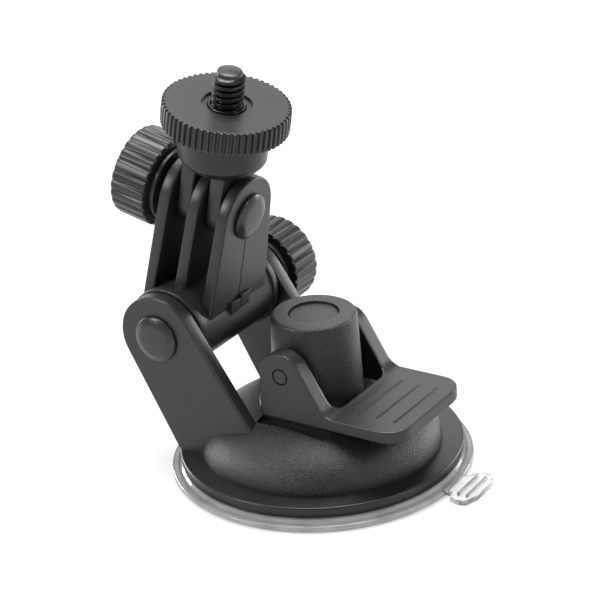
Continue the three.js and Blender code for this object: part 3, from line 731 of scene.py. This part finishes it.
# ------------------------------------------------------- bolts, washers and clamp knobs
def clamp(seat, stack, prefix, bolt_body, knob_body):
    """Bolt, washer and fluted knob on one axis. The seat's origin is on the outer face of the clamped
    stack."""
    under = -stack - 0.15
    profile = rounded([
        (0, under - 1.35, 0), (BOLT_HEAD * 0.7, under - 1.2, 3), (BOLT_HEAD, under - 0.5, 0.45),
        (BOLT_HEAD, under, 0.1), (BOLT, under, 0.1), (BOLT, 9.0, 0.3), (0, 9.3, 0),
    ], closed=False)
    bolt = build(prefix + "_bolt_domed", [turned(profile, seat, 80)])
    finish(bolt, bolt_body, "black_steel", bolt_black, prefix + "_bolt")
    hole, low, high = BOLT + GAP, 0.15, 1.35
    profile = rounded([
        (hole, low, 0.1), (WASHER_RADIUS, low, 0.2), (WASHER_RADIUS, high, 0.2), (hole, high, 0.1),
    ])
    washer = build(prefix + "_washer_ring", [turned(profile, seat, 64)])
    finish(washer, bolt_body, "black_steel", blackened, prefix + "_washer")
    start, end = KNOB_FROM + KNOB_HUB_HIGH, KNOB_TO
    hub, socket = 7.7, 4.6

    def flute(profile, angle):
        """Narrow furrows between broad rounded ribs, depth * sin^8 of half the flutes' angle: deepest at
        the hub's end, and half as deep at the far rim."""
        r, h = profile[:, :1], profile[:, 1:]
        side = np.clip((r - (KNOB_RADIUS - 1.2)) / 0.9, 0, 1)
        deep = 0.5 - 0.25 * np.clip((h - start) / (end - start), 0, 1)
        return deep * np.sin(KNOB_FLUTES * angle / 2)[None] ** 8 * side

    profile = rounded([
        (0, end - 2, 0), (hole, end - 2, 0), (hole, start + 2.5, 0), (socket, start + 2.5, 0),
        (socket, KNOB_FROM, 0.1), (hub, KNOB_FROM, 0.3), (hub, start - 0.25, 0.1),
        (hub - 0.5, start - 0.2, 0.1), (hub - 0.5, start, 0.1), (KNOB_RADIUS, start, 0.3),
        (KNOB_RADIUS, (start + end) / 2, 0),
        (KNOB_RADIUS, end, 0.9), (KNOB_RADIUS - 2.2, end, 0.3), (KNOB_RADIUS - 2.5, end - 0.25, 0.3),
        (0, end - 0.25, 0),
    ], closed=False)
    knob = build(prefix + "_fluted_knob", [turned(filled(profile, 0.35), seat, KNOB_FLUTES * 16, flute)])
    finish(knob, knob_body, "knob_plastic", knob_plastic, prefix + "_knob")


# ---------------------------------------------------------------------------- the link
def fin_outline():
    """One fin, seen along the upper bolt: a round head on two edges that widen down to the barrel."""
    eye = arc((0, LINK_LENGTH), FIN_EYE, 6, 174, 60)
    foot = np.array([(-FIN_FOOT, 2.0), (FIN_FOOT, 2.0)])
    return resampled(np.concatenate([foot, eye]), 0.8)


def link():
    """Three fins on a flanged barrel, with the mould's parting line and two tabs on the front fin."""
    across = Seat(link_seat.origin, fin_across, ALONG)
    for index, name in ((-1, "fin_rear"), (0, "fin_middle"), (1, "fin_front")):
        at = FIN_OFFSET + index * FIN_PITCH
        part = plate(fin_outline(), at - FIN / 2, at + FIN / 2, 0.4, across)
        finish(build("link_" + name, [part]), "swing_link", "black_plastic", smooth)
    half = FORK_INNER - GAP
    ledge = half - FLANGE_WIDE
    profile = rounded([
        (0, -half, 0), (FLANGE, -half, 0.3), (FLANGE, -ledge, 0.25), (BARREL, 0.1 - ledge, 0.15),
        (BARREL, ledge - 0.1, 0.15), (FLANGE, ledge, 0.25), (FLANGE, half, 0.3), (0, half, 0),
    ], closed=False)
    barrel = build("link_barrel", [turned(profile, Seat(link_seat.origin, ALONG, ACROSS), 120)])
    finish(barrel, "swing_link", "black_plastic", smooth, "link")
    front = FIN_OFFSET + FIN_PITCH + FIN / 2
    parting_line = resampled(rectangle(-0.09, 4.2, 0.09, LINK_LENGTH - 4.5), 2)
    marks = [plate(parting_line, front - 0.3, front + 0.07, 0.03, across)]
    for low, high, left, right in ((2.6, 5.5, -3.3, -0.06), (3.0, 6.1, 0.06, 3.3)):
        marks.append(plate(rectangle(left, low, right, high, 0.15), front - 1.5, front + 0.7, 0.12, across))
    finish(build("link_parting_marks", marks), "swing_link", "black_plastic", smooth)


# ---------------------------------------------------------------------------- the head
def holder():
    """Two ears, each a tongue with a round boss on it, under the bowl that carries the screw."""
    across = Seat(upper_pivot, fin_across, np.cross(screw_axis, fin_across))
    for side, name in ((-1, "ear_rear"), (1, "ear_front")):
        at = FIN_OFFSET + side * FIN_PITCH / 2
        tongue = np.concatenate([
            arc((0, 0), HOLDER_EAR, 180, 360, 50),
            [(HOLDER_EAR - 0.4, BOWL_FROM + 1), (0.4 - HOLDER_EAR, BOWL_FROM + 1)],
        ])
        parts = [plate(resampled(tongue, 0.8), at - 1.6, at + 1.6, 0.4, across)]
        low, high, boss = at - 1.9, at + 1.9, 5
        profile = rounded([(0, low, 0), (boss, low, 0.2), (boss, high, 0.2), (0, high, 0)], closed=False)
        parts.append(turned(profile, across, 48))
        finish(build("holder_" + name, parts), "head", "black_plastic", smooth)
    profile = rounded([
        (0, BOWL_FROM, 0), (BOWL - 1.5, BOWL_FROM, 0.6), (BOWL, BOWL_FROM + 1.7, 1.3),
        (BOWL, BOWL_TOP, 0.25), (0, BOWL_TOP, 0),
    ], steps=8, closed=False)
    bowl = build("holder_bowl", [turned(profile, head_seat, 120)])
    # The bowl takes the darker polished black. It is smooth like the ring, and in part this darker shade is
    # painted shade for the shadow the wheel casts over it.
    finish(bowl, "head", "black_plastic", polished, "camera_holder")


def camera_screw():
    """The thread is one surface: at each angle and height the radius rises and falls with the height
    less the angle's share of the pitch, so the ridge climbs one pitch each turn."""
    core = SCREW_RADIUS - SCREW_DEPTH
    tip = WHEEL_TOP + SCREW_REACH
    low = WHEEL_TOP - RECESS_DEEP - 0.8
    around = 72
    rows = int((tip - low) / 0.055)
    h = np.linspace(low, tip, rows)[:, None]
    a = np.linspace(0, 2 * np.pi, around, endpoint=False)[None]
    phase = (h / SCREW_PITCH - a / (2 * np.pi)) % 1.0
    ridge = eased(np.clip((0.5 - np.abs(phase - 0.5) - 0.09) / 0.3, 0, 1))
    tip_radius = SCREW_RADIUS - 0.7
    lead = np.clip((h - (tip - 0.95)) / 0.3, 0, 1)
    r = np.maximum(core + SCREW_DEPTH * ridge, core + (tip_radius - core) * lead)
    r = np.minimum(r, tip_radius + np.maximum(tip - 0.6 - h, 0) * 1.6)
    end = np.clip((tip - h) / 0.15, 0, 1)
    r = r - 0.15 * (1 - np.sqrt(np.clip(1 - (1 - end) ** 2, 0, 1)))
    grid = np.stack([r * np.cos(a), r * np.sin(a), np.repeat(h, around, 1)], -1)
    parts = [(head_seat.put(grid.reshape(-1, 3)), [skin_faces(rows, around), *end_caps(rows, around)])]
    foot, neck = BOWL_TOP - 0.5, low + 0.1
    shank = rounded([(0, foot, 0), (core, foot, 0), (core, neck, 0), (0, neck, 0)], closed=False)
    parts.append(turned(shank, head_seat, 48))
    hexagon = arc((0, 0), HEX_ACROSS / math.sqrt(3), 30, 330, 6)
    parts.append(plate(resampled(hexagon, 1.5), BOWL_TOP - GAP - 4, BOWL_TOP - GAP, 0.2, head_seat))
    finish(build("camera_thread", parts), "head", "black_steel", blackened, "camera_screw")


def thumb_wheel():
    """The toothed wheel and the steel sleeve in its hole."""

    def tooth(profile, angle):
        """Fine rounded teeth round the rim, from the cosine of the teeth's angle, running out toward the
        two flat faces."""
        r = profile[:, :1]
        side = np.clip((r - (WHEEL_RADIUS - 1.15)) / 0.75, 0, 1)
        valley = eased(np.clip((0.25 - 0.5 * np.cos(WHEEL_TEETH * angle)[None]) / 0.6, 0, 1))
        return 0.5 * valley * side

    hole, rim, recess = INSERT_RADIUS + 0.15, WHEEL_RADIUS - 0.08, WHEEL_TOP - RECESS_DEEP
    profile = rounded([
        (hole, WHEEL_BOTTOM, 0.1), (rim, WHEEL_BOTTOM, 0.4), (WHEEL_RADIUS, (WHEEL_BOTTOM + WHEEL_TOP) / 2, 0),
        (rim, WHEEL_TOP, 0.4), (RECESS_RADIUS, WHEEL_TOP, 0.15), (RECESS_RADIUS, recess, 0.05),
        (hole, recess, 0.05),
    ], steps=8)
    wheel = build("toothed_wheel", [turned(filled(profile, 0.3), head_seat, WHEEL_TEETH * 12, tooth)])
    finish(wheel, "wheel", "knob_plastic", knob_plastic, "thumb_wheel")
    inner, low, top = SCREW_RADIUS + 0.15, WHEEL_BOTTOM + 0.2, recess + 0.3
    profile = rounded([
        (inner, low, 0.05), (INSERT_RADIUS, low, 0.1), (INSERT_RADIUS, top, 0.15), (inner, top, 0.12),
    ])
    sleeve = build("insert_sleeve", [turned(profile, head_seat, 80)])
    finish(sleeve, "wheel", "black_steel", blackened, "wheel_insert")


# --------------------------------------------------------------- pieces left as the CAD
def inner_pieces():
    """Pieces inside the others keep their CAD shape and only take a finish."""
    looks = {
        "cup_anchor": smooth,
        "stem_screw": plated,
        "return_spring": plated,
        "lower_nut": plated,
        "upper_nut": plated,
    }
    for node, material in looks.items():
        frame["nodes"][node].data.materials.clear()
        frame["nodes"][node].data.materials.append(material)


# ---------------------------------------------------------------- floor, light, camera
def studio():
    """A pale floor, an even white world and six soft lamps aimed at the part."""
    floor = bpy.data.meshes.new("pale_floor")
    side = 3.0
    corners = [(-side, -side, 0), (side, -side, 0), (side, side, 0), (-side, side, 0)]
    floor.from_pydata(corners, [], [(0, 1, 2, 3)])
    ground = bpy.data.objects.new("pale_floor", floor)
    bpy.context.scene.collection.objects.link(ground)
    mat, shader = new_material("pale_floor_paint")
    shader.inputs["Base Color"].default_value = FLOOR_SHADE
    shader.inputs["Roughness"].default_value = 0.9
    shader.inputs["Emission Color"].default_value = BARE_WHITE
    shader.inputs["Emission Strength"].default_value = FLOOR_GLOW
    ground.data.materials.append(mat)
    world = bpy.data.worlds.new("studio")
    world.use_nodes = True
    background = world.node_tree.nodes["Background"]
    background.inputs["Color"].default_value = BARE_WHITE
    background.inputs["Strength"].default_value = WORLD_GLOW
    bpy.context.scene.world = world
    bpy.context.scene.view_settings.view_transform = "Standard"
    for name, place, size, power in (
        ("overhead_softbox", (-0.1, 0.14, 0.75), 0.45, 8.0),
        ("backdrop_softbox", (-0.62, 0.9, 0.5), 0.9, 3.3),
        ("left_front_softbox", (-0.34, -0.48, 0.4), 0.18, 2.6),
        ("right_front_softbox", (0.6, 0.06, 0.4), 0.18, 1.3),
        ("left_back_softbox", (-0.6, 0.08, 0.1), 0.25, 3.0),
        ("right_back_softbox", (0.24, 0.58, 0.1), 0.25, 2.2),
    ):
        lamp = bpy.data.lights.new(name, "AREA")
        lamp.size = size
        lamp.energy = power
        stand = bpy.data.objects.new(name, lamp)
        stand.location = place
        aim = Vector((0, 0, 0.03)) - Vector(place)
        stand.rotation_euler = aim.to_track_quat("-Z", "Y").to_euler()
        bpy.context.scene.collection.objects.link(stand)


def camera():
    """A camera turned, tilted and rolled round a point above the origin, then moved a little sideways
    and up in its own axes."""
    azimuth, elevation, roll = math.radians(34.6), math.radians(24.63), math.radians(-3.9)
    distance, aside, above, height = 0.4692, -0.002528, 0.000209, 0.035
    level = math.cos(elevation)
    back = Vector((math.sin(azimuth) * level, -math.cos(azimuth) * level, math.sin(elevation)))
    right = Vector((math.cos(azimuth), math.sin(azimuth), 0))
    up = back.cross(right)
    tilted_right = math.cos(roll) * right + math.sin(roll) * up
    tilted_up = -math.sin(roll) * right + math.cos(roll) * up
    place = Vector((0, 0, height)) + back * distance + tilted_right * aside + tilted_up * above
    lens = bpy.data.cameras.new("camera")
    lens.lens = 143.2
    lens.clip_start = 0.01
    lens.clip_end = 20
    view = bpy.data.objects.new("camera", lens)
    turn = Matrix((tilted_right, tilted_up, back)).transposed()
    view.matrix_world = Matrix.Translation(place) @ turn.to_4x4()
    bpy.context.scene.collection.objects.link(view)
    bpy.context.scene.camera = view


camera()
studio()
suction_cup()
pull_tab()
stem()
housing()
lever()
fork_width = 2 * FORK_OUTER
lower_clamp = Seat(lower_pivot + ALONG * FORK_OUTER, ALONG, ACROSS)
clamp(lower_clamp, fork_width, "lower", "base", "lower_clamp")
fin_rear = FIN_OFFSET - FIN_PITCH - FIN / 2
fin_front = FIN_OFFSET + FIN_PITCH + FIN / 2
upper_clamp = Seat(upper_pivot + fin_across * fin_rear, -fin_across, ALONG)
clamp(upper_clamp, fin_front - fin_rear, "upper", "swing_link", "upper_clamp")
link()
holder()
camera_screw()
thumb_wheel()
inner_pieces()
